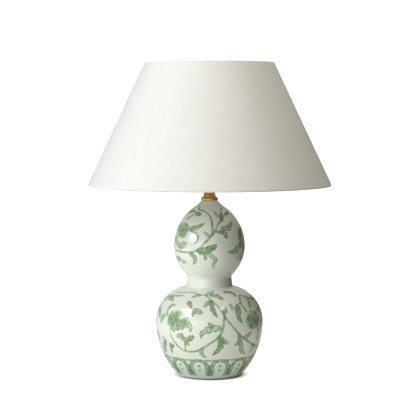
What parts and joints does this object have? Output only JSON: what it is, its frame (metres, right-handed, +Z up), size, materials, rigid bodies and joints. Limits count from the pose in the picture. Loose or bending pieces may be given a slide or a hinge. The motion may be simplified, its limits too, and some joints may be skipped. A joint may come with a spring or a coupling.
{
  "type": "double gourd table lamp",
  "caption": "Table lamp with a glazed double-gourd vase base, a brass neck with a turn-switch lamp holder, and an empire shade carried on a harp.",
  "frame": {"origin": "centre of the felt foot on the table", "axes": "+Z up along the lamp's axis; the switch and the painted front face -Y; the lead hole is at the back, +Y; the harp lies in the XZ plane"},
  "size_m": [0.4499, 0.45, 0.58],
  "materials": {
    "glaze": "glossy celadon glaze with green underglaze painting",
    "felt": "dark felt",
    "brass": "satin lacquered brass",
    "zinc_steel": "zinc plated",
    "rubber": "matt black",
    "clear_grommet": "natural nylon",
    "card": "brown pressed paper",
    "moulding": "black thermoset moulding",
    "sheet_contact": "bright drawn brass",
    "linen": "off-white linen",
    "lining": "white styrene laminate",
    "ring_wire": "white enamel",
    "bulb_glass": "inside frosted",
    "bulb_metal": "bright rolled shell",
    "bulb_black_glass": "black glass insulator",
    "bulb_stem": "clear glass",
    "filament": "tungsten wire"
  },
  "bodies": {
    "base": {"gourd_body": "glaze", "felt_pad": "felt", "bottom_washer": "zinc_steel", "bottom_nut": "zinc_steel", "lamp_tube": "zinc_steel", "cord_grommet": "clear_grommet", "mouth_bush": "rubber", "vase_cap": "brass", "neck": "brass", "harp_saddle": "brass", "socket_cap": "brass", "set_screw": "zinc_steel", "socket_shell": "brass", "socket_liner": "card", "socket_insulator": "moulding", "terminal_screws": "sheet_contact", "thread_sleeve": "sheet_contact", "centre_contact": "sheet_contact", "switch_nozzle": "brass", "harp_bow": "brass", "harp_seat": "brass"},
    "shade": {"shade_fabric": "linen", "shade_lining": "lining", "bottom_ring": "ring_wire", "top_ring": "ring_wire", "bottom_hem": "linen", "top_hem": "linen", "spider": "ring_wire"},
    "finial": {"finial": "brass"},
    "bulb": {"bulb_glass": "bulb_glass", "bulb_cap": "bulb_metal", "bulb_insulator": "bulb_black_glass", "bulb_tip": "bulb_metal", "bulb_stem": "bulb_stem", "bulb_filament": "filament"},
    "switch": {"switch_stem": "zinc_steel", "switch_knob": "brass"},
    "left_ferrule": {"ferrule_left": "brass"},
    "right_ferrule": {"ferrule_right": "brass"}
  },
  "joints": [
    {"name": "shade_turn", "type": "hinge", "parent": "base", "child": "shade", "pos_m": [0, 0, 0.5531], "axis": [0, 0, 1], "continuous": true},
    {"name": "finial_screw", "type": "hinge", "parent": "base", "child": "finial", "pos_m": [0, 0, 0.556], "axis": [0, 0, 1], "range_deg": [0, 3240]},
    {"name": "bulb_screw", "type": "hinge", "parent": "base", "child": "bulb", "pos_m": [0, 0, 0.41], "axis": [0, 0, 1], "range_deg": [0, 1800]},
    {"name": "switch_turn", "type": "hinge", "parent": "base", "child": "switch", "pos_m": [0, -0.02, 0.3896], "axis": [0, -1, 0], "continuous": true},
    {"name": "left_ferrule_slide", "type": "slide", "parent": "base", "child": "left_ferrule", "axis": [0, 0, 1], "range_m": [0, 0.014]},
    {"name": "right_ferrule_slide", "type": "slide", "parent": "base", "child": "right_ferrule", "axis": [0, 0, 1], "range_m": [0, 0.014]}
  ]
}
